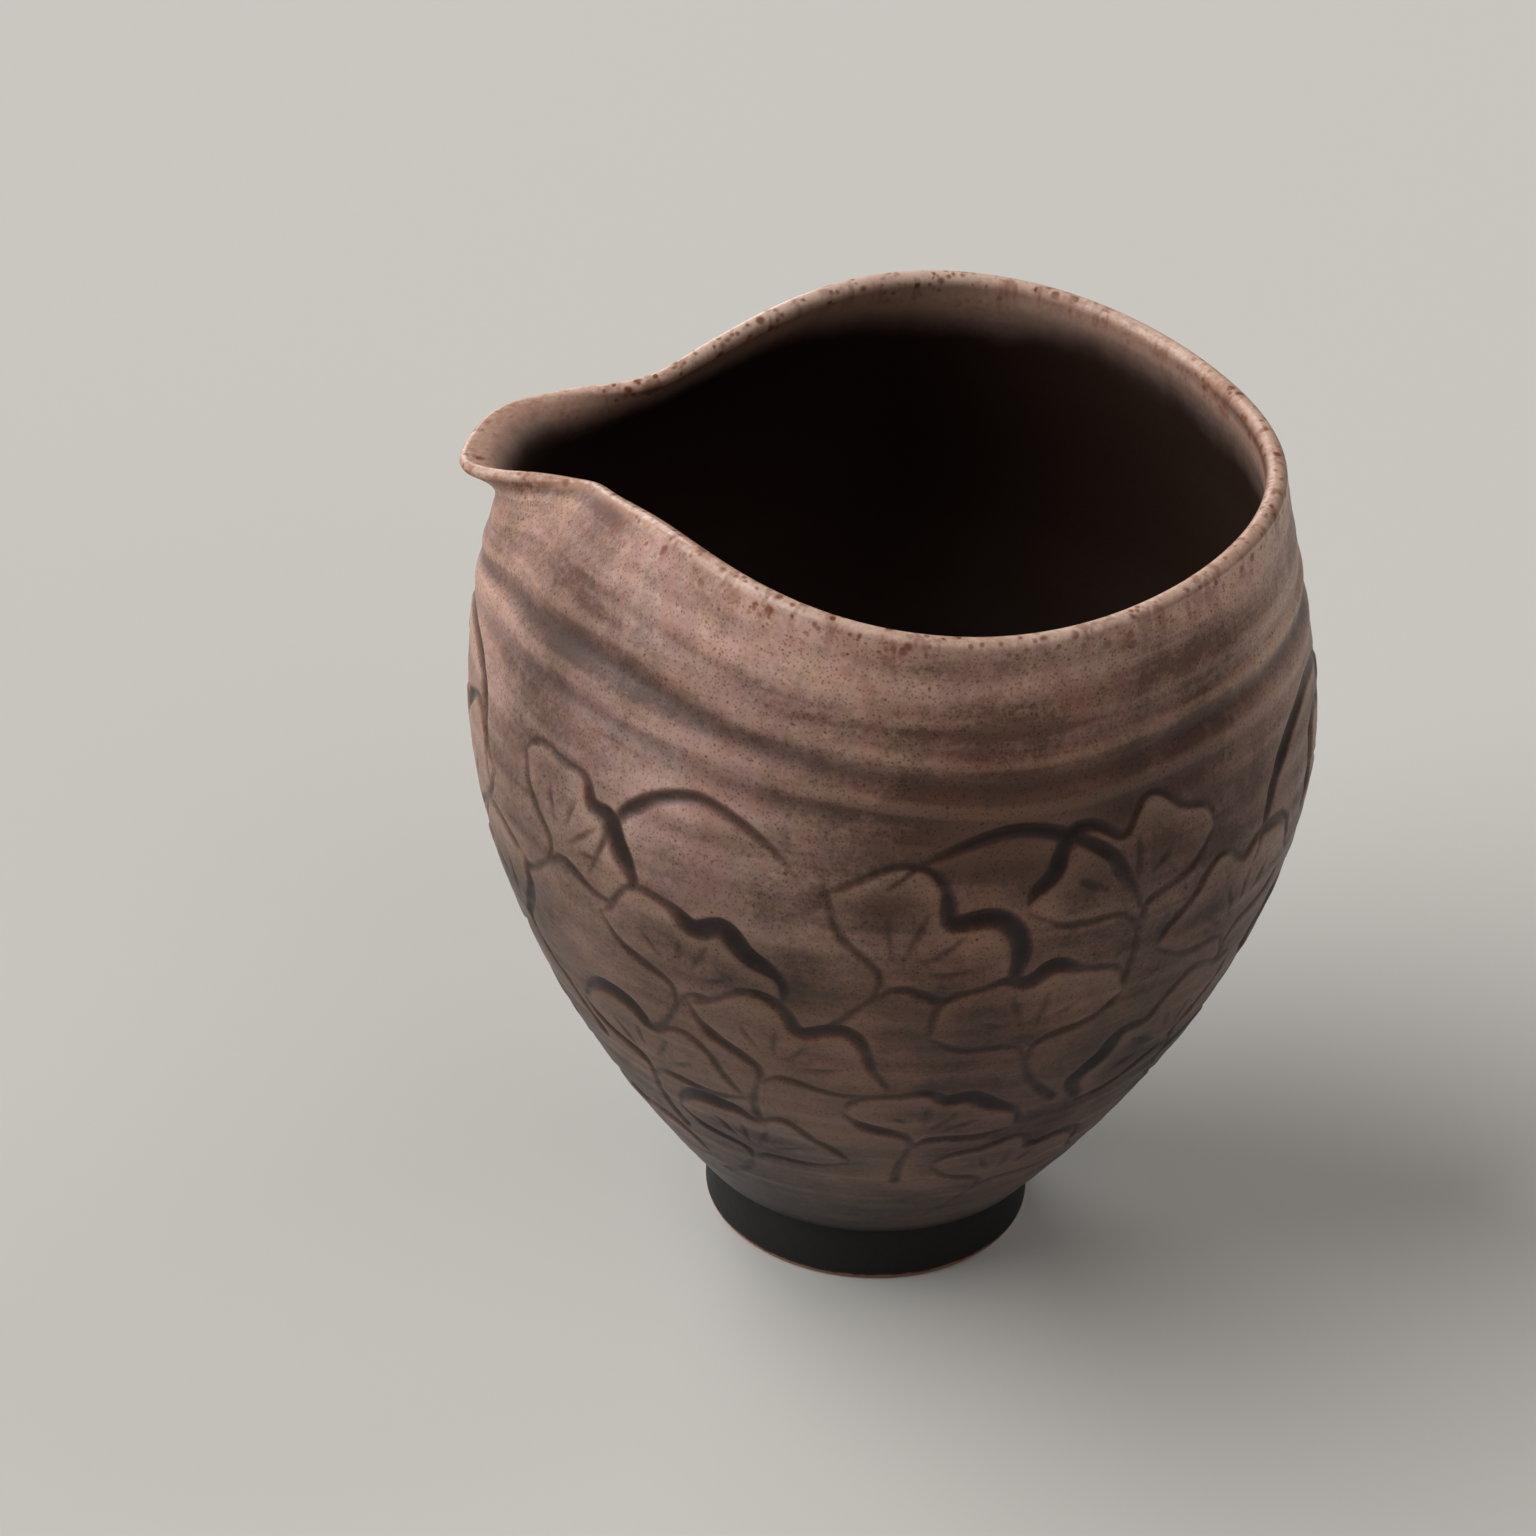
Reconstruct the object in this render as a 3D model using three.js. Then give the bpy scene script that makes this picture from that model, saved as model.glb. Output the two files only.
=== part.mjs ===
// Tea pitcher: a wheel-thrown stoneware jug that brewed tea is poured from, with a spout pulled out of its rim.
// It is three pieces of clay: the thrown body, a turned foot ring, and the thin bed of slip that sticks them together.
// Millimetres, +Z up. It stands on z = 0, the spout points along -X, and y = 0 is its plane of symmetry.
import * as THREE from "three";

// Foot ring
const footTopRadius = 17.0;
const footTaper = 0.2;
const footWall = 4.0;
const footHeight = 7.1;
const footBevel = 0.7;

// Slip between the foot ring and the body
const slipThickness = 0.4;
const slipInset = 0.3;

// Body, measured on the outside of its wall
const seatOverhang = 1.5;
const bellyRadius = 42.0;
const bellyHeight = 59.5;
const neckRadius = 33.2;
const neckHeight = 89.5;
const lowerFullness = 1.71;
const shoulderFullness = 1.74;

// Wall
const lipThickness = 2.1;
const wallThickness = 3.6;
const floorThickness = 5.2;

// Lip, on the outside of the wall: radius at the spout without its pull, and then each eighth of a turn from it
const lipThroatRadius = 31.4;
const lipCheekRadius = 30.0;
const lipSideRadius = 36.4;
const lipHipRadius = 36.8;
const lipBackRadius = 36.7;

// Height of the lip at the same places
const lipThroatHeight = 83.9;
const lipCheekHeight = 88.5;
const lipSideHeight = 89.1;
const lipHipHeight = 87.5;
const lipBackHeight = 88.5;

// Spout: how far the thumb draws the rim out and down, how wide, and how soon above the belly
const spoutPull = 7.0;
const spoutFlare = 5.0;
const spoutDip = 3.3;
const spoutHalfAngle = 0.292;
const spoutSpread = 0.71;
const spoutSquareness = 4;
const pullStart = 56.6;
const rimCurve = 3.5;
const pullCurve = 1.65;
const flareCurve = 14;

// Throwing rings left by the fingers: height up the body, depth and half width of each groove
const throwingRings = [
  { height: 75.5, depth: 0.4, spread: 1.9 },
  { height: 80.0, depth: 0.2, spread: 1.3 },
  { height: 71.3, depth: 0.14, spread: 1.2 },
];

// Facets
const around = 80;
const spoutCrowding = 0.55;
const outerRings = 30;
const innerRings = 18;
const lipSteps = 6;
const footSides = 64;

const footRadius = footTopRadius - footTaper;
const seatRadius = footTopRadius + seatOverhang;
const bodyBase = footHeight + slipThickness;

// Outer radius of the body as the wheel left it, before the rim was pulled
function thrownRadius(z) {
  if (z < bellyHeight) {
    const below = (bellyHeight - z) / (bellyHeight - bodyBase);
    return bellyRadius - (bellyRadius - seatRadius) * below ** lowerFullness;
  }
  const above = (z - bellyHeight) / (neckHeight - bellyHeight);
  return bellyRadius - (bellyRadius - neckRadius) * above ** shoulderFullness;
}

function ringDepth(z) {
  return throwingRings.reduce(
    (sum, ring) => sum + ring.depth * Math.exp(-(((z - ring.height) / ring.spread) ** 2)),
    0,
  );
}

// How much of the spout's pull reaches an angle from its middle; it is wider low down, where drawn is near 0
function spoutShare(turn, drawn) {
  const halfAngle = spoutHalfAngle * (1 + spoutSpread * (1 - drawn));
  return Math.exp(-(Math.abs(turn / halfAngle) ** spoutSquareness));
}

// Smooth line round the lip through its values at the spout, each eighth of a turn from it, and behind
function roundLip(values, turn) {
  const last = values.length - 1;
  const ends = (i) => (i % last ? 1 : 0.5);
  const wave = (k) => values.reduce((sum, v, i) => sum + v * ends(i) * Math.cos((Math.PI * i * k) / last), 0);
  return values.reduce((sum, _, k) => sum + (2 / last) * ends(k) * wave(k) * Math.cos(k * turn), 0);
}

function lipRadius(turn) {
  return roundLip([lipThroatRadius, lipCheekRadius, lipSideRadius, lipHipRadius, lipBackRadius], turn);
}

function lipHeight(turn) {
  return roundLip([lipThroatHeight, lipCheekHeight, lipSideHeight, lipHipHeight, lipBackHeight], turn);
}

// A point of the outer wall: turn is the angle from the spout, rise runs from 0 at the seat to 1 at the lip
function outerPoint(turn, rise) {
  const z = bodyBase + (neckHeight - bodyBase) * rise;
  const drawn = Math.max(0, (z - pullStart) / (neckHeight - pullStart));
  const shaped = drawn ** rimCurve;
  const pull = spoutShare(turn, drawn) * drawn ** pullCurve;
  const flare = spoutShare(turn, drawn) * drawn ** flareCurve;
  const pinched = thrownRadius(z) + shaped * (lipRadius(turn) - neckRadius);
  const radius = pinched + spoutPull * pull + spoutFlare * flare - ringDepth(z);
  return new THREE.Vector3(
    -radius * Math.cos(turn),
    -radius * Math.sin(turn),
    z + shaped * (lipHeight(turn) - neckHeight) - spoutDip * pull,
  );
}

// Directions at a point of the wall: up along it, and out of it
function wallFrame(turn, rise) {
  const step = 1e-3;
  const low = Math.min(rise, 1 - step);
  const up = outerPoint(turn, low + step).sub(outerPoint(turn, low)).normalize();
  const across = outerPoint(turn + step, rise).sub(outerPoint(turn - step, rise)).normalize();
  return { up, out: new THREE.Vector3().crossVectors(across, up).normalize() };
}

function thickness(rise) {
  return lipThickness + (wallThickness - lipThickness) * Math.sqrt(1 - rise);
}

function innerPoint(turn, rise) {
  return outerPoint(turn, rise).addScaledVector(wallFrame(turn, rise).out, -thickness(rise));
}

// The rounded lip, from the outer wall at 0 over the top to the inner wall at 1
function lipPoint(turn, part) {
  const { up, out } = wallFrame(turn, 1);
  const half = lipThickness / 2;
  const angle = Math.PI * part;
  return outerPoint(turn, 1)
    .addScaledVector(out, half * (Math.cos(angle) - 1))
    .addScaledVector(up, half * Math.sin(angle));
}

// The dished floor inside, from the wall at 0 to the middle at 1
const floorRise = 0.06;
const floorHeight = bodyBase + floorThickness;
function floorPoint(turn, part) {
  const edge = innerPoint(turn, floorRise);
  const share = 1 - part;
  return new THREE.Vector3(edge.x * share, edge.y * share, floorHeight + (edge.z - floorHeight) * share ** 2);
}

// Angles round the body, closer together at the spout
const turns = Array.from({ length: around }, (_, i) => {
  const t = (2 * i) / around - 1;
  return Math.PI * t * (spoutCrowding + (1 - spoutCrowding) * t * t);
});

// Closed skin through rings of points, with one point at each end
function closedSkin(first, rings, last) {
  const count = rings[0].length;
  const positions = [first, ...rings.flat(), last].flatMap((p) => [p.x, p.y, p.z]);
  const end = 1 + rings.length * count;
  const index = [];
  for (let i = 0; i < count; i++) {
    const next = (i + 1) % count;
    index.push(0, 1 + next, 1 + i);
    for (let k = 0; k + 1 < rings.length; k++) {
      const [a, b] = [1 + k * count + i, 1 + k * count + next];
      index.push(a, b, b + count, a, b + count, a + count);
    }
    index.push(end - count + i, end - count + next, end);
  }
  const geometry = new THREE.BufferGeometry();
  geometry.setAttribute("position", new THREE.Float32BufferAttribute(positions, 3));
  geometry.setIndex(index);
  geometry.computeVertexNormals();
  return geometry;
}

// Steps from 0 to 1, closer together towards 1, where the spout curves most
function steps(count, crowding) {
  return Array.from({ length: count + 1 }, (_, i) => 1 - (1 - i / count) ** crowding);
}

function makeThrownBody() {
  const ring = (point) => turns.map(point);
  const outer = steps(outerRings, 1.35).map((rise) => ring((turn) => outerPoint(turn, rise)));
  const lip = Array.from({ length: lipSteps - 1 }, (_, i) => ring((turn) => lipPoint(turn, (i + 1) / lipSteps)));
  const inner = steps(innerRings, 1.35)
    .reverse()
    .map((part) => ring((turn) => innerPoint(turn, floorRise + (1 - floorRise) * part)));
  const floor = [0.3, 0.65].map((part) => ring((turn) => floorPoint(turn, part)));
  return closedSkin(
    new THREE.Vector3(0, 0, bodyBase),
    [...outer, ...lip, ...inner, ...floor],
    new THREE.Vector3(0, 0, floorHeight),
  );
}

// A ring turned about Z from a closed outline of [radius, height] pairs
function turned(outline) {
  const points = [...outline, outline[0]].map(([r, z]) => new THREE.Vector2(r, z));
  return new THREE.LatheGeometry(points, footSides).rotateX(Math.PI / 2);
}

function makeFootRing() {
  const inside = footRadius - footWall;
  return turned([
    [inside + footBevel, 0],
    [footRadius - footBevel, 0],
    [footRadius, footBevel],
    [footTopRadius, footHeight],
    [footTopRadius - footWall, footHeight],
    [inside, footBevel],
  ]);
}

function makeSlip() {
  return turned([
    [footTopRadius - footWall + slipInset, footHeight],
    [footTopRadius - slipInset, footHeight],
    [footTopRadius - slipInset, bodyBase],
    [footTopRadius - footWall + slipInset, bodyBase],
  ]);
}

function piece(name, geometry, color, roughness) {
  const material = new THREE.MeshStandardMaterial({ color, roughness, metalness: 0 });
  const mesh = new THREE.Mesh(geometry, material);
  mesh.name = name;
  return mesh;
}

const pitcher = new THREE.Group();
pitcher.add(piece("thrown_body", makeThrownBody(), 0x8f7a70, 0.5));
pitcher.add(piece("luting_slip", makeSlip(), 0x3a302c, 0.8));
pitcher.add(piece("foot_ring", makeFootRing(), 0x2a2523, 0.75));

// The origin is the middle of the space the pitcher takes, on the surface it stands on
const space = new THREE.Box3().setFromObject(pitcher);
pitcher.position.x = -(space.min.x + space.max.x) / 2;

export default pitcher;
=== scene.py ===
from math import cos, pi, radians, sin

import bpy
import numpy as np
from mathutils import Matrix, Vector


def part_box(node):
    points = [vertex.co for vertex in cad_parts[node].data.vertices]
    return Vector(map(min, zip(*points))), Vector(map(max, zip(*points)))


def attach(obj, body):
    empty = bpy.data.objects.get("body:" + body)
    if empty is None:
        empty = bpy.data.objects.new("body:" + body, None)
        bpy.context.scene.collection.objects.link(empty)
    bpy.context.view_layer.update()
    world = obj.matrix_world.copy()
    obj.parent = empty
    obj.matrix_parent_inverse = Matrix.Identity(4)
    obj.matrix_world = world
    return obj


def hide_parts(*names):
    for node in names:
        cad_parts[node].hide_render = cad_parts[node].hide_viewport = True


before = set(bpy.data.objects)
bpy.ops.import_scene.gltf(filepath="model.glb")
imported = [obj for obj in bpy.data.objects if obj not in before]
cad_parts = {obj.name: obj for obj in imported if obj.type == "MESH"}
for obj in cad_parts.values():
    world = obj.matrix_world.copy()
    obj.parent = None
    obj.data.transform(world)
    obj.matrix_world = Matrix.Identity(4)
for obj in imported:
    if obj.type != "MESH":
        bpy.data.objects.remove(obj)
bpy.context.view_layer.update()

# The view, the table and the light
# The camera stands where the photographer stood: a long lens, looking down on the pitcher, spout to the left.
# The pitcher stands on a plain pale surface, in soft window light from the left and a little from behind.
body_low, body_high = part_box("thrown_body")
foot_low, foot_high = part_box("foot_ring")
MM = 0.001
AXIS_X = (foot_low[0] + foot_high[0]) / 2 / MM

LOOK_DOWN = radians(32.37)
CAMERA_ROLL = radians(-2.4)
CAMERA_TURN = radians(13.47)
CAMERA_OFFSET = (10.3, -43.68, 529.5)
FOCAL_PX = 5000
PICTURE_PX = 1536
SENSOR = 36

level_right = Vector((1, 0, 0))
level_up = Vector((0, sin(LOOK_DOWN), cos(LOOK_DOWN)))
ahead = Vector((0, cos(LOOK_DOWN), -sin(LOOK_DOWN)))
camera_right = cos(CAMERA_ROLL) * level_right - sin(CAMERA_ROLL) * level_up
camera_up = sin(CAMERA_ROLL) * level_right + cos(CAMERA_ROLL) * level_up
across, upward, away = CAMERA_OFFSET
standpoint = -MM * (across * camera_right + upward * camera_up + away * ahead)
camera_axes = Matrix((camera_right, camera_up, -ahead)).transposed().to_4x4()
camera = bpy.data.objects.new("camera", bpy.data.cameras.new("camera"))
camera.data.sensor_width = SENSOR
camera.data.lens = FOCAL_PX / PICTURE_PX * SENSOR
camera.data.clip_start = 0.01
camera.matrix_world = (
    Matrix.Translation((AXIS_X * MM, 0, 0))
    @ Matrix.Rotation(CAMERA_TURN, 4, "Z")
    @ Matrix.Translation(standpoint)
    @ camera_axes
)
bpy.context.collection.objects.link(camera)
scene = bpy.context.scene
scene.camera = camera
scene.view_settings.view_transform = "Standard"


class Wire:
    """A value in a material: sums written with it add the nodes that work them out."""

    def __init__(self, finish, socket):
        self.finish = finish
        self.socket = socket

    def worked(self, operation, *values):
        return self.finish.node("ShaderNodeMath", {"operation": operation}, dict(enumerate(values)))

    def __add__(self, other):
        return self.worked("ADD", self, other)

    def __sub__(self, other):
        return self.worked("SUBTRACT", self, other)

    def __rsub__(self, other):
        return self.worked("SUBTRACT", other, self)

    def __mul__(self, other):
        return self.worked("MULTIPLY", self, other)

    def __truediv__(self, other):
        return self.worked("DIVIDE", self, other)

    def __pow__(self, other):
        return self.worked("POWER", self, other)

    __radd__ = __add__
    __rmul__ = __mul__

    def clamped(self):
        return self.finish.node("ShaderNodeClamp", {}, {"Value": self})

    def between(self, low, high):
        values = {"Value": self, "From Min": low, "From Max": high}
        return self.finish.node("ShaderNodeMapRange", {"interpolation_type": "SMOOTHSTEP"}, values)


class Finish:
    """A material under construction, on one Principled shader."""

    def __init__(self, name, **constants):
        self.material = bpy.data.materials.new(name)
        self.material.use_nodes = True
        self.nodes = self.material.node_tree.nodes
        self.links = self.material.node_tree.links
        self.shader = self.nodes["Principled BSDF"]
        self.feed(self.shader, {key.replace("_", " "): value for key, value in constants.items()})

    def feed(self, node, values):
        for key, value in values.items():
            if isinstance(value, Wire):
                self.links.new(value.socket, node.inputs[key])
            else:
                node.inputs[key].default_value = value

    def node(self, kind, settings, values, output=0):
        node = self.nodes.new(kind)
        for key, value in settings.items():
            setattr(node, key, value)
        self.feed(node, values)
        return Wire(self, node.outputs[output])

    def place(self):
        return self.node("ShaderNodeTexCoord", {}, {}, "Object")

    def noise(self, scale, detail=3.0, roughness=0.55, vector=None):
        values = {"Vector": vector or self.place(), "Scale": scale, "Detail": detail, "Roughness": roughness}
        return self.node("ShaderNodeTexNoise", {}, values, "Fac")

    def mixed(self, share, first, second, blend="MIX"):
        values = {"Factor": share, 6: first, 7: second}
        return self.node("ShaderNodeMix", {"data_type": "RGBA", "blend_type": blend}, values, 2)

    def stained(self, share, color, stain):
        """A color seen through a stain: it takes the stain's share of each of its parts."""
        return self.mixed(share, color, (*stain, 1.0), "MULTIPLY")

    def bump(self, height, distance, strength=1.0):
        return self.node("ShaderNodeBump", {}, {"Height": height, "Distance": distance, "Strength": strength})


def srgb(red, green, blue):
    """A colour as a screen shows it, each part out of 255, in the shaders' own linear parts."""
    linear = [((c / 255 + 0.055) / 1.055) ** 2.4 if c > 10 else c / 255 / 12.92 for c in (red, green, blue)]
    return (*linear, 1.0)


def put(name, mesh, material):
    thing = bpy.data.objects.new(name, mesh)
    bpy.context.collection.objects.link(thing)
    thing.data.materials.append(material)
    return thing


TABLE_SIDE = 8.0
table_finish = Finish("pale_paper", Roughness=0.9, Base_Color=srgb(198, 196, 191))
half = TABLE_SIDE / 2
table_mesh = bpy.data.meshes.new("table")
table_corners = [(-half, -half, 0), (half, -half, 0), (half, half, 0), (-half, half, 0)]
table_mesh.from_pydata(table_corners, [], [(0, 1, 2, 3)])
table = put("table", table_mesh, table_finish.material)

WORLD_COLOR = srgb(255, 234, 219)
WORLD_LEVEL = 0.08
world = bpy.data.worlds.new("room")
world.use_nodes = True
world.node_tree.nodes["Background"].inputs["Color"].default_value = WORLD_COLOR
world.node_tree.nodes["Background"].inputs["Strength"].default_value = WORLD_LEVEL
scene.world = world


def daylight(name, bearing, height, spread, strength):
    """Far soft light, as from a window or a wall: bearing is counted from the camera's right."""
    turned = bearing + CAMERA_TURN
    toward = Vector((cos(turned) * cos(height), sin(turned) * cos(height), sin(height)))
    lamp = bpy.data.lights.new(name, "SUN")
    lamp.angle = spread
    lamp.energy = strength
    holder = bpy.data.objects.new(name, lamp)
    holder.rotation_euler = (-toward).to_track_quat("-Z", "Y").to_euler()
    bpy.context.collection.objects.link(holder)


daylight("window", radians(182), radians(40), radians(62), 3.2)
daylight("wall_behind", radians(115), radians(18), radians(34), 1.2)
daylight("wall_at_right", radians(26), radians(42), radians(34), 0.33)
daylight("room_in_front", radians(-45), radians(45), radians(50), 0.38)

# Foot ring: a plain turned ring of the same iron-bearing clay, wiped with a black wash.
# It is stuck to the underside of the body, and its standing edge is bare, where the clay fires orange-brown.
FOOT_RADIUS = (foot_high[0] - foot_low[0]) / 2 / MM
FOOT_HEIGHT = foot_high[2] / MM
FOOT_WALL = 4.0
FOOT_TAPER = 0.1
FOOT_EDGE = 0.7
FOOT_SIDES = 256
FOOT_WASH = (srgb(11, 10, 10), srgb(22, 21, 21))
BARE_CLAY = srgb(150, 106, 80)


def turned_mesh(name, outline, sides):
    """A closed outline of (radius, height) points in millimetres, turned about the pitcher's axis."""
    outline = np.array(outline)
    angle = np.arange(sides) * 2 * pi / sides
    ring = np.stack([np.cos(angle), np.sin(angle)], 1)
    points = np.concatenate(
        [
            ring[:, None, :] * outline[None, :, :1],
            np.broadcast_to(outline[None, :, 1:], (sides, len(outline), 1)),
        ],
        2,
    ).reshape(-1, 3)
    points[:, 0] += AXIS_X
    count = len(outline)
    side, k = np.meshgrid(np.arange(sides), np.arange(count), indexing="ij")
    after, beside = (side + 1) % sides, (k + 1) % count
    faces = np.stack([side * count + k, after * count + k, after * count + beside, side * count + beside], -1)
    mesh = bpy.data.meshes.new(name)
    mesh.from_pydata((points * MM).tolist(), [], faces.reshape(-1, 4).tolist())
    mesh.shade_smooth()
    return mesh


def rounded(corners, radius, steps=5):
    """The closed outline of (radius, height) corners with each corner rounded off."""
    points = []
    for before, corner, after in zip(corners[-1:] + corners[:-1], corners, corners[1:] + corners[:1]):
        start = corner + (before - corner).normalized() * radius
        end = corner + (after - corner).normalized() * radius
        for i in range(steps + 1):
            t = i / steps
            points.append((1 - t) ** 2 * start + 2 * t * (1 - t) * corner + t**2 * end)
    return [tuple(p) for p in points]


foot_corners = [
    Vector((FOOT_RADIUS - FOOT_WALL, 0)),
    Vector((FOOT_RADIUS - FOOT_TAPER, 0)),
    Vector((FOOT_RADIUS, FOOT_HEIGHT)),
    Vector((FOOT_RADIUS - FOOT_WALL, FOOT_HEIGHT)),
]
foot_finish = Finish("black_wash", Roughness=0.72, Specular_IOR_Level=0.35)
foot_place = foot_finish.node("ShaderNodeSeparateXYZ", {}, {"Vector": foot_finish.place()}, "Z")
foot_grain = foot_finish.noise(900.0)
bare_edge = 1.0 - (foot_place / MM + foot_grain * 0.5).between(0.6, 1.0)
wash = foot_finish.mixed(foot_finish.noise(260.0), *FOOT_WASH)
foot_color = foot_finish.mixed(bare_edge, wash, BARE_CLAY)
foot_bump = foot_finish.bump(foot_grain, 0.0001)
foot_finish.feed(foot_finish.shader, {"Base Color": foot_color, "Normal": foot_bump})
foot_mesh = turned_mesh("foot_ring_finished", rounded(foot_corners, FOOT_EDGE), FOOT_SIDES)
foot = put("foot_ring_finished", foot_mesh, foot_finish.material)
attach(foot, "root")
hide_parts("foot_ring")

# Luting slip: a thin bed of liquid clay that sticks the ring to the body.
# It fires dark and matte, and only its edge shows, as a fine line under the body.
slip_finish = Finish("fired_slip", Roughness=0.85)
slip_color = slip_finish.mixed(slip_finish.noise(700.0), srgb(24, 21, 20), srgb(46, 39, 35))
slip_finish.feed(slip_finish.shader, {"Base Color": slip_color})
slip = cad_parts["luting_slip"]
slip.data.materials.clear()
slip.data.materials.append(slip_finish.material)

# Thrown body: one wall of stoneware thrown on the wheel, its rim pinched in and drawn out to a spout.
# Fingers left soft grooves round the shoulder, which the pull carried up towards the spout.
# Its satin glaze is mottled mauve and cream over iron-bearing clay and rusty on the lip; inside, it is
# coloured darker with depth, to near black.
SEAT_RADIUS = 18.5
BELLY_RADIUS = 42.0
BELLY_HEIGHT = 59.5
NECK_RADIUS = 33.2
NECK_HEIGHT = 89.5
LOWER_FULLNESS = 1.71
SHOULDER_FULLNESS = 1.74
LIP_THICKNESS = 2.1
SPOUT_THINNING = 0.42
SPOUT_THIN_HALF = 0.5
WALL_THICKNESS = 3.6
FLOOR_THICKNESS = 5.2
LIP_RADII = (31.4, 30.0, 36.4, 36.8, 36.7)
LIP_HEIGHTS = (83.9, 88.5, 89.1, 87.5, 88.5)
SPOUT_PULL = 7.0
SPOUT_FLARE = 5.0
SPOUT_DIP = 3.3
SPOUT_HALF_ANGLE = 0.292
SPOUT_SPREAD = 0.71
SPOUT_SQUARENESS = 4
PULL_START = 56.6
RIM_CURVE = 3.5
PULL_CURVE = 1.65
FLARE_CURVE = 14
BODY_BASE = body_low[2] / MM
FLOOR_RISE = 0.06

# Each throwing groove: its height, depth and half width, then the bearing where it is faint, and its reach.
# All of them wander up and down together: the bearing, rise and reach of each swing.
THROWING_RINGS = (
    (76.1, 0.6, 1.5, -20, 28),
    (79.6, 0.36, 0.9, 76, 42),
    (71.7, 0.42, 1.3, 170, 50),
    (81.0, 0.24, 0.9, 180, 90),
)
RING_WAVES = ((0, -1.2, 12), (58, 2.1, 24), (120, -1.4, 20), (-75, 1.3, 30), (-150, -0.8, 28))
RING_FAINTNESS = 0.85
RIDGE_HEIGHT = 0.4
RIDGE_WIDTH = 1.9
SPOUT_FADE = 0.35
SPOUT_FADE_REACH = 24
GLAZE_FILLED = 0.42

# How finely the wall is drawn: columns round it, and rows up to its neck, above that, and on from the lip
COLUMNS = 1200
CARVED_RISE = 0.9
CARVED_ROWS = 400
NECK_ROWS = 50
INNER_ROWS = 70
LIP_ROWS = 12
FLOOR_ROWS = 14
UV_END_BAND = 0.02


def thrown_radius(z):
    """Outer radius of the body as the wheel left it, before the rim was pulled."""
    below = np.clip((BELLY_HEIGHT - z) / (BELLY_HEIGHT - BODY_BASE), 0, 1)
    above = np.clip((z - BELLY_HEIGHT) / (NECK_HEIGHT - BELLY_HEIGHT), 0, 1)
    lower = (BELLY_RADIUS - SEAT_RADIUS) * below**LOWER_FULLNESS
    return BELLY_RADIUS - lower - (BELLY_RADIUS - NECK_RADIUS) * above**SHOULDER_FULLNESS


def round_lip(values, turn):
    """Smooth line round the lip through its values at the spout and at each eighth of a turn from it."""
    last = len(values) - 1
    ends = [1 if i % last else 0.5 for i in range(len(values))]
    line = 0
    for k in range(len(values)):
        wave = sum(value * ends[i] * cos(pi * i * k / last) for i, value in enumerate(values))
        line = line + 2 / last * ends[k] * wave * np.cos(k * turn)
    return line


def ring_depth(turn, z, spout_fade=SPOUT_FADE):
    """How deep the throwing grooves lie at a place, each with a low ridge at both sides."""
    bearing = np.degrees(turn)
    wander = sum(rise * np.exp(-(((bearing - middle) / reach) ** 2)) for middle, rise, reach in RING_WAVES)
    deep = 0
    for height, depth, half_width, faint_at, faint_reach in THROWING_RINGS:
        off = (z - height - wander) / half_width
        aside = (bearing - faint_at + 180) % 360 - 180
        strength = depth * (1 - RING_FAINTNESS * np.exp(-((aside / faint_reach) ** 2)))
        deep = deep + strength * (np.exp(-(off**2)) - RIDGE_HEIGHT * np.exp(-((off / RIDGE_WIDTH) ** 2)))
    return deep * (1 - spout_fade * np.exp(-((bearing / SPOUT_FADE_REACH) ** 2)))


def lip_thickness(turn):
    """The wall's thickness at the lip: the pull draws it thin at the spout."""
    return LIP_THICKNESS * (1 - SPOUT_THINNING * np.exp(-((turn / SPOUT_THIN_HALF) ** 2)))


def outer_wall(turn, rise, grooved=1):
    """Points of the outside: turn is the angle from the spout, rise is 0 at the seat and 1 at the lip."""
    z = BODY_BASE + (NECK_HEIGHT - BODY_BASE) * rise
    drawn = np.clip((z - PULL_START) / (NECK_HEIGHT - PULL_START), 0, 1)
    half_angle = SPOUT_HALF_ANGLE * (1 + SPOUT_SPREAD * (1 - drawn))
    share = np.exp(-(np.abs(turn / half_angle) ** SPOUT_SQUARENESS))
    shaped, pull = drawn**RIM_CURVE, share * drawn**PULL_CURVE
    wide = thrown_radius(z) + shaped * (round_lip(LIP_RADII, turn) - NECK_RADIUS) + SPOUT_PULL * pull
    thinned = (LIP_THICKNESS - lip_thickness(turn)) / 2 * drawn**FLARE_CURVE
    wide = wide + SPOUT_FLARE * share * drawn**FLARE_CURVE + thinned - grooved * ring_depth(turn, z)
    lifted = shaped * (round_lip(LIP_HEIGHTS, turn) - NECK_HEIGHT) - SPOUT_DIP * pull + thinned
    return np.stack([AXIS_X - wide * np.cos(turn), -wide * np.sin(turn), z + lifted], -1)


def unit(vectors):
    return vectors / np.linalg.norm(vectors, axis=-1, keepdims=True)


def wall_frame(turn, rise, grooved=1):
    """Directions at places on the wall: up along it, and out of it."""
    step = 1e-4
    low = np.minimum(rise, 1 - step)
    up = unit(outer_wall(turn, low + step, grooved) - outer_wall(turn, low, grooved))
    across = unit(outer_wall(turn + step, rise, grooved) - outer_wall(turn - step, rise, grooved))
    return up, unit(np.cross(across, up))


def inner_wall(turn, rise):
    thick = lip_thickness(turn) + (WALL_THICKNESS - lip_thickness(turn)) * np.sqrt(1 - rise)
    return outer_wall(turn, rise, 0) - wall_frame(turn, rise, 0)[1] * thick[..., None]


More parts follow.
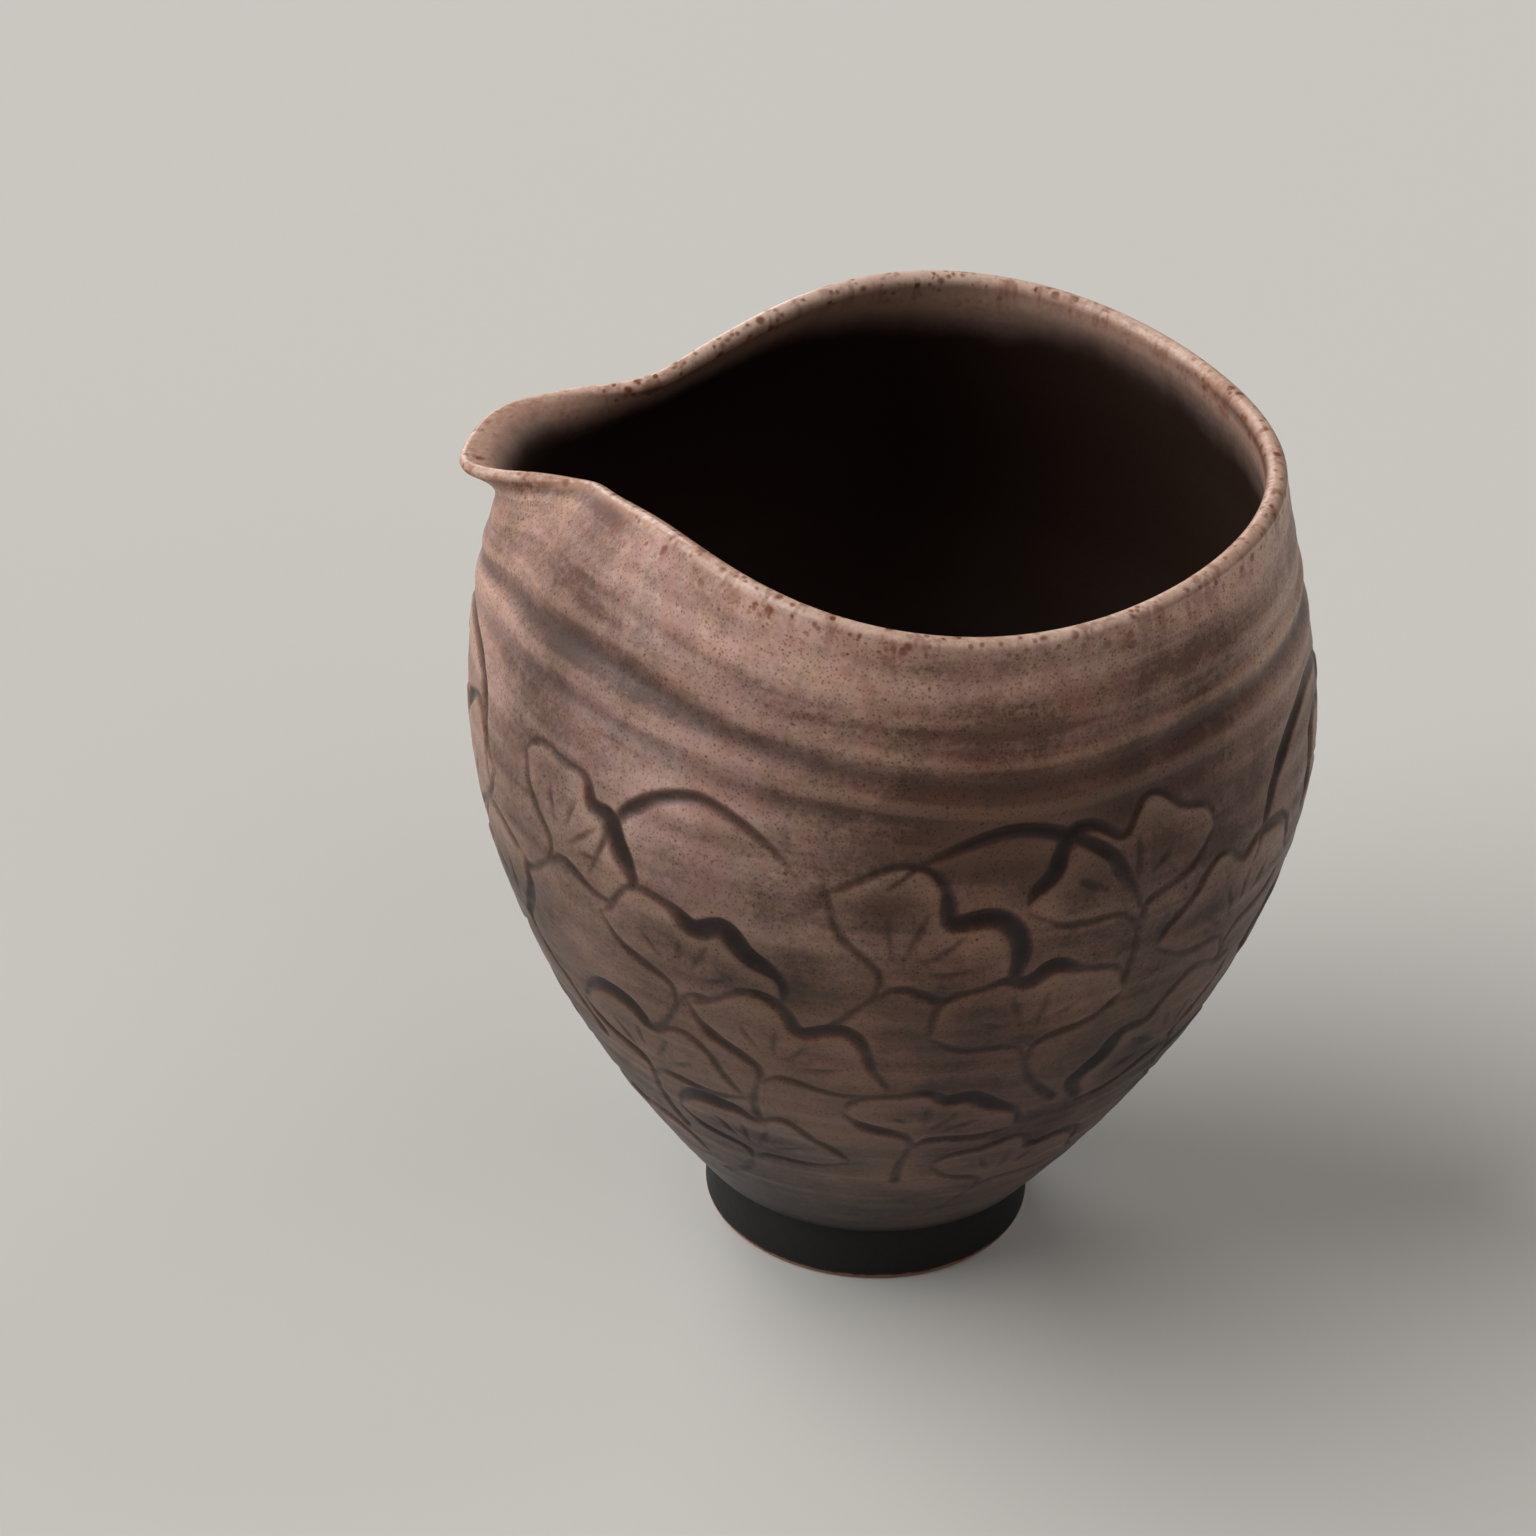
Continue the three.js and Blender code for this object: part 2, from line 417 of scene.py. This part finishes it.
def skin_mesh(name, rings, low_end, high_end):
    """A closed skin through rings of points, from one end point to the other, with a UV map round it."""
    rows, columns = rings.shape[:2]
    points = np.concatenate([[low_end], rings.reshape(-1, 3), [high_end]]) * MM
    row, column = np.meshgrid(np.arange(rows - 1), np.arange(columns), indexing="ij")
    beside = (column + 1) % columns
    left, right = 1 + row * columns + column, 1 + row * columns + beside
    quads = np.stack([left, right, right + columns, left + columns], -1)
    around = np.arange(columns)
    after = (around + 1) % columns
    first = 1 + (rows - 1) * columns
    low_fan = np.stack([np.zeros_like(around), 1 + after, 1 + around], -1)
    high_fan = np.stack([first + around, first + after, np.full_like(around, len(points) - 1)], -1)
    loops = np.concatenate([quads.ravel(), low_fan.ravel(), high_fan.ravel()])
    sizes = np.concatenate([np.full(quads.shape[0] * quads.shape[1], 4), np.full(2 * columns, 3)])
    mesh = bpy.data.meshes.new(name)
    mesh.vertices.add(len(points))
    mesh.vertices.foreach_set("co", points.ravel())
    mesh.loops.add(len(loops))
    mesh.loops.foreach_set("vertex_index", loops)
    mesh.polygons.add(len(sizes))
    mesh.polygons.foreach_set("loop_start", np.cumsum(sizes) - sizes)
    mesh.update(calc_edges=True)
    mesh.shade_smooth()
    layer = mesh.uv_layers.new(name="OFBake")
    u, v = np.meshgrid(np.arange(columns + 1) / columns, np.linspace(UV_END_BAND, 1 - UV_END_BAND, rows))
    sheet = np.stack([u, v], -1)
    quad_uv = np.stack([sheet[:-1, :-1], sheet[:-1, 1:], sheet[1:, 1:], sheet[1:, :-1]], 2)
    low_tips = sheet[0, :-1] * (1, 0)
    high_tips = sheet[-1, :-1] * (1, 0) + (0, 1)
    low_uv = np.stack([low_tips, sheet[0, 1:], sheet[0, :-1]], 1)
    high_uv = np.stack([sheet[-1, :-1], sheet[-1, 1:], high_tips], 1)
    layer.data.foreach_set("uv", np.concatenate([quad_uv.ravel(), low_uv.ravel(), high_uv.ravel()]))
    return mesh


turns = 2 * pi * np.arange(COLUMNS) / COLUMNS - pi
neck_rows = np.linspace(CARVED_RISE, 1, NECK_ROWS + 1)[1:]
rises = np.concatenate([np.linspace(0, CARVED_RISE, CARVED_ROWS), neck_rows])
outer_turn, outer_rise = np.meshgrid(turns, rises)
thrown_height = BODY_BASE + (NECK_HEIGHT - BODY_BASE) * rises
ring_radius = thrown_radius(thrown_height)
# How far each row lies from the seat, measured along the wall
steps = np.hypot(np.diff(ring_radius), np.diff(thrown_height))
along = np.concatenate([[0], np.cumsum(steps)])

# Leaves carved in the leather-hard clay: notched, wavy fans with ribs and a stem, scattered as if they fell.
# Each stroke is one slanting cut of the tool, deep in its middle and running out to nothing at its ends.
# Each leaf stands a little proud of the one under it, most at its outer edge.
LEAF_COUNT = 40
LEAF_SEED = 11
LEAF_RADIUS = (12.5, 16.0)
LEAF_ZONE = (10.0, 64.0)
LEAF_SPREAD = radians(58)
LEAF_NOTCH = 0.16
LEAF_NOTCH_SPREAD = radians(8)
LEAF_DROOP = 0.14
LEAF_WAVE = 0.045
LEAF_PROUD = 0.2
RIBS = (0.16, 0.52)
WIDE_CUT = 2.6
FINE_CUT = 0.85
DEEPEST_CUT = 0.5
STEEP_BANK = 0.26
SLOPING_BANK = 0.62
LEAST_BANK = 0.1
TURN_STEP = radians(137.508)
fall = np.random.default_rng(LEAF_SEED)
carved = np.zeros(outer_turn.shape)
proud = np.zeros(outer_turn.shape)


def near(turn, height, reach):
    """The wall's rows and columns within reach of a place on it, and how far aside and above it they lie."""
    rows = np.flatnonzero(np.abs(along - height) < reach)
    least = max(ring_radius[rows].min(), SEAT_RADIUS)
    offset = (turns - turn + pi) % (2 * pi) - pi
    columns = np.flatnonzero(np.abs(offset) < reach / least)
    x = offset[columns] * ring_radius[rows, None]
    y = np.broadcast_to((along[rows] - height)[:, None], x.shape)
    return np.ix_(rows, columns), x, y


def slant_cut(x, y, line, widths, steep_left):
    """Depth of one stroke of the tool along a line of points, at the places x, y."""
    start, leg = line[:-1], np.diff(line, axis=0)
    best = np.full(x.shape, 1e9)
    depth = np.zeros(x.shape)
    for (sx, sy), (lx, ly), w0, w1 in zip(start, leg, widths[:-1], widths[1:]):
        part = np.clip(((x - sx) * lx + (y - sy) * ly) / (lx * lx + ly * ly + 1e-12), 0, 1)
        px, py = x - sx - part * lx, y - sy - part * ly
        distance = np.hypot(px, py)
        left = (lx * py - ly * px) * (1 if steep_left else -1) > 0
        width = w0 + (w1 - w0) * part
        bank = np.where(left, STEEP_BANK * width + LEAST_BANK, SLOPING_BANK * width)
        full = DEEPEST_CUT * np.minimum(width / WIDE_CUT, 1) ** 0.75
        here = full * np.clip(1 - (distance / np.maximum(bank, 1e-3)) ** 2, 0, 1) ** 0.7
        nearer = distance < best
        depth = np.where(nearer, here, depth)
        best = np.minimum(best, distance)
    return depth


def bent(points, count=18):
    """A smooth line through a few points, as the tool runs."""
    points = np.array(points, float)
    knots = np.arange(len(points))
    at = np.linspace(0, len(points) - 1, count)
    span = np.clip(at.astype(int), 0, len(points) - 2)
    slope = np.gradient(points, axis=0)
    t = (at - knots[span])[:, None]
    p0, p1, m0, m1 = points[span], points[span + 1], slope[span], slope[span + 1]
    return ((2 * t**3 - 3 * t**2 + 1) * p0 + (t**3 - 2 * t**2 + t) * m0 + (3 * t**2 - 2 * t**3) * p1
            + (t**3 - t**2) * m1)


def swelling(count, least, most, peak=0.5):
    """Widths of a stroke that starts fine, swells and runs out."""
    t = np.linspace(0, 1, count)
    lean = np.where(t < peak, t / peak, (1 - t) / (1 - peak))
    return least + (most - least) * np.sin(lean * pi / 2) ** 1.3


def leaning(count, bold_at, bold_half, most):
    """Widths of a long fine stroke with one stretch where the tool leans over and cuts wide."""
    t = np.linspace(0, 1, count)
    lean = np.exp(-(np.abs((t - bold_at) / bold_half) ** 3))
    return (FINE_CUT + (most - FINE_CUT) * lean) * np.clip(np.minimum(t, 1 - t) / 0.07, 0.25, 1)


def fan_edge(radius, bumps, phase):
    """The wavy outer edge of a fan, from its left corner past a shallow notch to its right corner."""
    angle = np.linspace(-LEAF_SPREAD, LEAF_SPREAD, 46)
    share = angle / LEAF_SPREAD
    notch = LEAF_NOTCH * np.exp(-((angle / LEAF_NOTCH_SPREAD) ** 2))
    wave = LEAF_WAVE * np.sin(bumps * pi * share + phase)
    reach = radius * (1 - notch - LEAF_DROOP * np.abs(share) ** 3 + wave)
    return np.stack([reach * np.sin(angle), reach * np.cos(angle)], -1)


def within(x, y, outline):
    """Which places lie inside a closed outline."""
    inside = np.zeros(x.shape, bool)
    for (x0, y0), (x1, y1) in zip(outline, np.roll(outline, -1, axis=0)):
        if y0 != y1:
            crosses = (y0 > y) != (y1 > y)
            inside ^= crosses & (x < x0 + (y - y0) * (x1 - x0) / (y1 - y0))
    return inside


area_below = np.cumsum(ring_radius[1:] * steps)
zone = np.interp(LEAF_ZONE, along[1:], area_below)
shares = 1 - (np.arange(LEAF_COUNT) + 0.5) / LEAF_COUNT
leaf_heights = np.interp(zone[0] + (zone[1] - zone[0]) * shares, area_below, along[1:])
for number, leaf_height in enumerate(leaf_heights):
    radius = fall.uniform(*LEAF_RADIUS) * (0.7 + 0.3 * np.clip(leaf_height / 36, 0, 1))
    leaf_turn = number * TURN_STEP + fall.uniform(-0.12, 0.12)
    lean = fall.uniform(-0.9, 0.9)
    sweep = fall.uniform(-0.35, 0.35) * radius
    patch, x, y = near(leaf_turn, leaf_height, radius * 1.5)
    x, y = x * cos(lean) + y * sin(lean), y * cos(lean) - x * sin(lean)
    y = y + radius * 0.5
    edge = fan_edge(radius, fall.uniform(2.4, 3.6), fall.uniform(0, 6))
    sides = [
        bent([(0, 0), (0.1 * hand * radius, 0.2 * radius), corner * 0.6 + (0.05 * hand * radius, 0), corner])
        for hand, corner in ((-1, edge[0]), (1, edge[-1]))
    ]
    outline = np.concatenate([sides[0], edge, sides[1][::-1]])
    covered = within(x, y, outline)
    cut = np.where(covered, 0, carved[patch])
    proud[patch] = np.where(covered, LEAF_PROUD * np.clip(np.hypot(x, y) / radius, 0, 1) ** 3, proud[patch])
    bold_at, bold_half = fall.uniform(0.15, 0.85), fall.uniform(0.13, 0.24)
    widths = leaning(len(edge), bold_at, bold_half, WIDE_CUT * fall.uniform(0.6, 1.1))
    cut = np.maximum(cut, slant_cut(x, y, edge, widths, steep_left=True))
    for hand, side in zip((-1, 1), sides):
        most = FINE_CUT * fall.uniform(0.8, 2.0)
        cut = np.maximum(cut, slant_cut(x, y, side, swelling(len(side), 0.4, most, 0.6), steep_left=hand < 0))
        for rib in RIBS:
            angle = (rib + fall.uniform(-0.03, 0.06)) * LEAF_SPREAD * hand
            far = radius * (0.8 - 0.14 * rib - 0.12 * fall.uniform(0, 1))
            start = radius * fall.uniform(0.38, 0.5)
            legs = ((start, angle * 0.7), ((start + far) / 2, angle * 0.92), (far, angle))
            line = bent([(reach * sin(lean_out), reach * cos(lean_out)) for reach, lean_out in legs], 8)
            rib_cut = slant_cut(x, y, line, swelling(8, 0.3, 0.75 * FINE_CUT), steep_left=True)
            cut = np.maximum(cut, 0.9 * rib_cut)
    stem = bent([(0, 0), (0.3 * sweep, -0.3 * radius), (sweep, -0.62 * radius)], 12)
    carved[patch] = np.maximum(cut, slant_cut(x, y, stem, np.linspace(0.6, 1.3, 12), steep_left=True))

# Long stems sweep over the shoulder above the leaves
SWEEP_COUNT = 7
SWEEP_HEIGHT = 66.0
for number in range(SWEEP_COUNT):
    sweep_turn = radians(20) + number * 2 * pi / SWEEP_COUNT + fall.uniform(-0.2, 0.2)
    hand = 1 if number % 2 else -1
    long = fall.uniform(13, 19)
    patch, x, y = near(sweep_turn, SWEEP_HEIGHT, 1.2 * long)
    arch = ((-0.8, -9.5), (-0.52, -1.0), (0, 3.0), (0.5, 1.0), (0.82, -2.6))
    line = bent([(aside * long * hand, height) for aside, height in arch], 40)
    widths = swelling(40, 0.3, WIDE_CUT * fall.uniform(0.5, 1.0), 0.35)
    carved[patch] = np.maximum(carved[patch], slant_cut(x, y, line, widths, steep_left=hand > 0))


def blurred(field, passes, step=1):
    """A field on the wall, softened: round it without an end, and up it between its two ends."""
    for _ in range(passes):
        field = (field + (np.roll(field, step, 1) + np.roll(field, -step, 1)) / 2) / 2
        field[step:-step] = (field[step:-step] + (field[2 * step:] + field[: -2 * step]) / 2) / 2
    return field


FADE = (6.0, 16.0)
faded = np.clip((along - FADE[0]) / (FADE[1] - FADE[0]), 0.15, 1)[:, None]
carved = blurred(carved * faded, 1)
relief = blurred(proud * faded, 8) - carved
standing = relief - blurred(relief, 8, 5)

# Fine lines that the fingers left all the way up, too shallow to feel.
# Each set has a depth, a distance apart, a sway and the turn that it sways from.
FINGER_LINES = ((0.025, 2.3, 1.4, 0), (0.03, 3.9, 2.0, 1.1))
outer_z = np.broadcast_to(thrown_height[:, None], outer_turn.shape)
finger_lines = sum(
    depth * np.sin(2 * pi * outer_z / apart + sway * np.sin(outer_turn + offset))
    for depth, apart, sway, offset in FINGER_LINES
)
finger_lines = finger_lines * (1 - 0.8 * np.exp(-((outer_turn / 0.6) ** 2)))
outer = outer_wall(outer_turn, outer_rise)
outward = wall_frame(outer_turn, outer_rise)[1]
settled = np.clip(along / 6, 0, 1) * np.clip((along[-1] - along) / 4, 0, 1)
outer = outer + outward * (relief - finger_lines * settled[:, None])[..., None]
lip_up, lip_out = wall_frame(turns, np.ones(COLUMNS))
over = pi * np.arange(1, LIP_ROWS)[:, None, None] / LIP_ROWS
half_lip = lip_thickness(turns)[:, None] / 2
lip = outer[-1] + half_lip * ((np.cos(over) - 1) * lip_out + np.sin(over) * lip_up)
inner_turn, inner_rise = np.meshgrid(turns, np.linspace(1, FLOOR_RISE, INNER_ROWS))
inner = inner_wall(inner_turn, inner_rise)
toward = 1 - np.arange(1, FLOOR_ROWS)[:, None] / FLOOR_ROWS
floor_height = BODY_BASE + FLOOR_THICKNESS
floor_edge = inner[-1]
floor = np.stack(
    [
        AXIS_X + (floor_edge[:, 0] - AXIS_X) * toward,
        floor_edge[:, 1] * toward,
        floor_height + (floor_edge[:, 2] - floor_height) * toward**2,
    ],
    -1,
)
whole = np.concatenate([outer, lip, inner, floor])
body_mesh = skin_mesh("glazed_body", whole, (AXIS_X, 0, BODY_BASE), (AXIS_X, 0, floor_height))

# The glaze: dipped, so that it pools in hollows and breaks over edges.
# Each soft patch where it lies thin and pale, or, below zero, thick and dark, has a bearing from the spout,
# a height, two half widths and a strength. Besides the glaze's own thick and thin places, some patches are
# painted light
# and painted shade: they brighten the lip round the front and the right, and darken the cheek beside the
# spout.
GLAZE_PATCHES_AND_PAINTED_LIGHT = (
    (38, 82, 10, 6, -1.3), (32, 90, 9, 3, -2.6), (54, 88, 8, 4, 0.9), (66, 85, 9, 6, 0.4),
    (79, 79, 8, 4, -0.2), (92, 87, 13, 5, 2.4), (122, 77, 14, 6, -1.0), (138, 82, 8, 8, -0.6),
    (146, 77, 10, 6, -0.7), (138, 72, 16, 6, -0.7), (154, 81, 5, 4, -0.8), (166, 85, 6, 5, 0.9),
    (168, 90, 24, 3, 2.6), (158, 84, 10, 5, -0.9), (70, 69, 8, 6, 0.7), (93, 72, 8, 5, -0.4),
    (121, 69, 12, 7, -2.2), (46, 76, 5, 4, -1.2), (44, 66, 6, 14, -0.8), (64, 68, 7, 8, 0.5),
    (86, 62, 15, 7, 0.4), (110, 55, 16, 8, -0.3), (60, 58, 6, 7, -0.2), (153, 58, 9, 8, 0.1),
    (72, 44, 16, 9, 0.6), (112, 38, 22, 8, 0.1), (104, 18, 22, 8, -1.4), (-60, 70, 20, 8, 0.6),
    (-120, 60, 18, 9, -0.7), (178, 78, 14, 7, 0.4), (154, 89, 10, 3, 1.5),
)
# Soft patches inside, in the same columns: painted light under the far rim, and painted shade on the crest at
# the back and in the spout's throat
INNER_PAINTED_LIGHT_AND_SHADE = (
    (4, 87, 12, 4, 0.8), (-6, 82, 8, 4, -0.8), (-32, 87, 12, 5, 2.6), (-72, 88, 22, 6, 2.0),
    (-154, 84, 18, 5, 0.9), (-160, 89.5, 22, 0.5, -1.8),
)
# Where the glaze leans to red-brown, or, below zero, to cool mauve
WARM_POOLS = ((70, 68, 26, 14, -1.1), (112, 56, 12, 20, 0.8), (120, 73, 11, 6, 0.7), (102, 44, 16, 8, 0.6))

# Its colours, in pairs of where it lies thick and thin, and of where it breaks pale over a low and a high
# edge, with painted highlight in that pale tone
UPPER_GLAZE = (srgb(96, 67, 56), srgb(190, 157, 142))
LOWER_GLAZE = (srgb(43, 27, 21), srgb(107, 80, 67))
PALE_GLAZE_AND_HIGHLIGHT = (srgb(118, 92, 76), srgb(194, 163, 142))
LIP_GLAZE = (srgb(170, 125, 98), srgb(216, 186, 168))
INNER_GLAZE = (srgb(142, 104, 86), srgb(192, 156, 137))
INNER_MAUVE = (srgb(80, 66, 62), srgb(150, 124, 113))
INNER_DARK = srgb(46, 32, 25)
RED_BROWN = srgb(124, 84, 70)
OLIVE_BROWN = srgb(62, 56, 44)
GROOVE_BROWN = srgb(66, 49, 44)
GREY_BROWN = srgb(56, 49, 45)
# Painted shade, with thick glaze, for the hollows next to the carving
HOLLOW_GLAZE_AND_SHADE = srgb(44, 34, 29)
FOOT_BLACK = srgb(16, 15, 15)
# Painted light for the lip
LIP_PAINTED_LIGHT = srgb(238, 212, 194)
INNER_LIP = srgb(140, 102, 80)
RUST = srgb(116, 64, 40)


def patch_sum(pools, turn, height):
    """How much the soft patches add at a place."""
    tone = 0
    for bearing, level, half_wide, half_high, strength in pools:
        aside = ((turn - radians(bearing) + pi) % (2 * pi) - pi) * BELLY_RADIUS / half_wide
        tone = tone + strength * np.exp(-(aside**2) - ((height - level) / half_high) ** 2)
    return tone


def beyond_lip(outside, after=0):
    """Values for every ring of the skin: those of the outside, then those over the lip and within."""
    return np.concatenate([outside, np.broadcast_to(after, (len(whole) - len(outer), COLUMNS))])


# What steers the glaze at each point
within_share = np.concatenate([np.arange(1, LIP_ROWS) / LIP_ROWS, np.ones(len(inner) + len(floor))])
within_rise = np.concatenate([np.ones(len(lip)), inner_rise[:, 0], np.zeros(len(floor))])
within_z = (BODY_BASE + (NECK_HEIGHT - BODY_BASE) * within_rise)[:, None]
inner_start = len(outer) + len(lip)
below_lip = whole[:inner_start, :, 2].max(0) - whole[:, :, 2]
down_inside = np.linalg.norm(np.diff(whole[inner_start:], axis=0), axis=2).cumsum(0)
below_lip[inner_start + 1 :] = below_lip[inner_start] + down_inside
steering = {
    "inside": beyond_lip(np.zeros(outer_turn.shape), within_share[:, None]),
    "below_lip": below_lip,
    "wheel_height": beyond_lip(outer_z, within_z),
    "cut": beyond_lip(carved),
    "standing": beyond_lip(standing),
    "ring": beyond_lip(ring_depth(outer_turn, outer_z, 0) / GLAZE_FILLED),
    "tone": beyond_lip(patch_sum(GLAZE_PATCHES_AND_PAINTED_LIGHT, outer_turn, outer_z), patch_sum(INNER_PAINTED_LIGHT_AND_SHADE, turns, within_z)),
    "warmth": beyond_lip(patch_sum(WARM_POOLS, outer_turn, outer_z)),
}
for attribute, values in steering.items():
    layer = body_mesh.attributes.new(attribute, "FLOAT", "POINT")
    at_points = np.concatenate([[values[0, 0]], values.ravel(), [values[-1, 0]]])
    layer.data.foreach_set("value", at_points.astype(np.float32))

glaze = Finish("mottled_glaze", Coat_Roughness=0.06, Specular_IOR_Level=0.3)


def steer(name):
    return glaze.node("ShaderNodeAttribute", {"attribute_name": name}, {}, "Fac")


inside, below, wheel, cut, standing_out, ring, patch_tone_and_light, warmth = map(steer, steering)
place = glaze.place()


def vectors(operation, first, second):
    return glaze.node("ShaderNodeVectorMath", {"operation": operation}, {0: first, 1: second}, "Vector")


wheel_lift = glaze.node("ShaderNodeCombineXYZ", {}, {"Z": wheel * MM}, "Vector")
on_wheel = vectors("ADD", vectors("MULTIPLY", place, (1.0, 1.0, 0.0)), wheel_lift)


def streaks(across, upward, detail):
    """Noise drawn out along the wall: across and upward are its scales round the wall and up it."""
    return glaze.noise(1.0, detail, 0.6, vectors("MULTIPLY", on_wheel, (across, across, upward)))


clouds = glaze.noise(45.0, 3.0, 0.55)
patches = glaze.noise(120.0, 5.0, 0.6)
wiped = streaks(22.0, 420.0, 3.0)
broad = streaks(14.0, 110.0, 3.0)
drips = streaks(200.0, 24.0, 3.0)
blotches = glaze.noise(430.0, 3.0, 0.6)
grain = glaze.noise(1500.0, 5.0, 0.75)


def speckle(scale, size, share):
    """Round specks: scale sets how close they lie, size how wide they are, share how few of them show."""
    cells = glaze.node("ShaderNodeTexVoronoi", {}, {"Vector": place, "Scale": scale}, "Distance")
    chosen = glaze.noise(scale * 0.4, 1.0).between(share, share + 0.06)
    return (1.0 - cells.between(size * 0.4, size)) * chosen


mottle = 0.5 + patch_tone_and_light * 0.28 + (clouds - 0.5) * 1.2 + (patches - 0.5) * 1.0 + (wiped - 0.5) * 1.3
mottle = mottle + (broad - 0.5) * 1.4 + (drips - 0.5) * 0.3
mottle = (mottle + (blotches - 0.5) * 0.7 + (grain - 0.5) * 1.1).clamped()

# The wall: paler above, where the glaze is thin, darker below, and black at the foot
upper = glaze.mixed(mottle, *UPPER_GLAZE)
upper = glaze.mixed((drips * 0.3 + patches * 0.7).between(0.5, 0.6) * 0.4, upper, RED_BROWN)
deeper = (mottle + (clouds - 0.5) * 2.0 + (broad - 0.5) * 1.1).clamped()
lower = glaze.mixed(deeper, *LOWER_GLAZE)
lower = glaze.mixed(patches.between(0.5, 0.62) * 0.4, lower, OLIVE_BROWN)
raised = (wheel + clouds * 22.0 + broad * 14.0 + patch_tone_and_light * 6.0).between(62.0, 98.0)
wall_color = glaze.mixed(raised, lower, upper)
pale_and_highlight = glaze.mixed(raised, *PALE_GLAZE_AND_HIGHLIGHT)
wall_color = glaze.mixed(ring.clamped() * (0.62 + 0.4 * broad), wall_color, GROOVE_BROWN)
# Painted highlight, with glaze broken thin, on the ridges beside the throwing grooves
wall_color = glaze.mixed((ring * -5.0).clamped() * 0.22, wall_color, pale_and_highlight)
greyed = 1.0 - (wheel + clouds * 8.0).between(12.0, 26.0)
wall_color = glaze.mixed(greyed * 0.55, wall_color, GREY_BROWN)
blackened = 1.0 - (wheel + clouds * 1.2).between(8.3, 10.2)
wall_color = glaze.mixed(blackened * 0.93, wall_color, FOOT_BLACK)
# Painted highlight, with glaze broken thin, on the raised leaf edges
wall_color = glaze.mixed((standing_out * 8.0).clamped() * 0.5, wall_color, pale_and_highlight)
# Painted shade, with glaze lying thick, in the hollows beside the raised leaf edges
wall_color = glaze.mixed((standing_out * -3.0).clamped() * 0.5, wall_color, HOLLOW_GLAZE_AND_SHADE)
mauve_flecks = glaze.noise(240.0, 4.0, 0.7).between(0.4, 0.6)
wall_color = glaze.stained(mauve_flecks * 0.7, wall_color, (1.0, 0.89, 0.96))
straw_flecks = glaze.noise(330.0, 4.0, 0.7).between(0.4, 0.6)
wall_color = glaze.stained(straw_flecks, wall_color, (1.0, 0.98, 0.87))
wall_color = glaze.stained((warmth * -1.0).clamped(), wall_color, (0.96, 1.0, 1.09))
wall_color = glaze.stained(warmth.clamped(), wall_color, (1.13, 0.97, 0.93))
wall_color = glaze.stained((cut / 0.15).clamped() ** 0.8 * 0.85, wall_color, (0.5, 0.4, 0.36))
wall_color = glaze.stained(cut.between(0.12, 0.46) * 0.95, wall_color, (0.2, 0.16, 0.15))
wall_color = glaze.stained(speckle(2600.0, 0.4, 0.34) * 0.55, wall_color, (0.4, 0.27, 0.21))
wall_color = glaze.stained(speckle(1700.0, 0.3, 0.4) * 0.6, wall_color, (0.33, 0.21, 0.17))
wall_color = glaze.stained(speckle(820.0, 0.18, 0.5) * 0.7, wall_color, (0.2, 0.12, 0.1))

# The lip: rubbed smooth, in a paler glaze, with painted light added that grows away from the spout
sideways = glaze.node("ShaderNodeSeparateXYZ", {}, {"Vector": place}, "X") / MM
lip_band = 1.0 - (below + grain * 0.5 + (patches - 0.5) * 1.5).between(0.3, 1.4)
lip_mottle = (mottle * 0.4 + grain * 0.6).between(0.3, 0.7)
lip_color = glaze.mixed(lip_mottle, *LIP_GLAZE)
# Painted light: the lip is brightened more the farther it lies from the spout
lip_light_share = sideways.between(-22.0, 4.0) * 0.3
wall_color = glaze.mixed(lip_band * 0.8, wall_color, glaze.mixed(lip_light_share, lip_color, LIP_PAINTED_LIGHT))

# The inside: mauve under the lip, then near black
deep = (below - patch_tone_and_light * 1.5 + clouds * 6.0 + drips * 2.0 + patches * 3.0).between(5.5, 12.5)
near_lip = (below - patch_tone_and_light + patches * 2.0).between(1.4, 5.5)
inner_color = glaze.mixed(near_lip, glaze.mixed(mottle, *INNER_GLAZE), glaze.mixed(mottle, *INNER_MAUVE))
inner_color = glaze.mixed(deep, inner_color, INNER_DARK)
inner_color = glaze.mixed(lip_band * 0.8, inner_color, glaze.mixed(0.12, lip_color, INNER_LIP))
color = glaze.mixed(inside.between(0.4, 0.9), wall_color, inner_color)

# Iron breaks through as rust specks under the lip, and runs down a little
rust_zone = (1.0 - (below + clouds * 3.0).between(2.0, 6.0)) * glaze.noise(95.0, 2.0).between(0.32, 0.48)
run_down = streaks(620.0, 150.0, 2.0).between(0.52, 0.66)
rust = speckle(1000.0, 0.38, 0.43) * 0.75 + speckle(520.0, 0.34, 0.45) * 0.9 + run_down * 0.5
color = glaze.mixed(rust.clamped() * rust_zone, color, RUST)

# The crest of the lip shines, but less at the spout and at the back
glossy = (1.0 - (below + grain * 0.4).between(0.2, 1.0)) * (0.15 + 0.75 * sideways.between(-24.0, -15.0))
glossy = glossy * (1.0 - 0.8 * sideways.between(25.0, 34.0))
surface = {
    "Base Color": color,
    "Roughness": 0.52 - 0.12 * mottle,
    "Coat Weight": 0.03 + 0.4 * glossy,
    "Normal": glaze.bump(grain * 0.35 + wiped * 0.5, 0.00012, 0.5),
}
glaze.feed(glaze.shader, surface)
body = put("glazed_body", body_mesh, glaze.material)
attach(body, "root")
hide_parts("thrown_body")
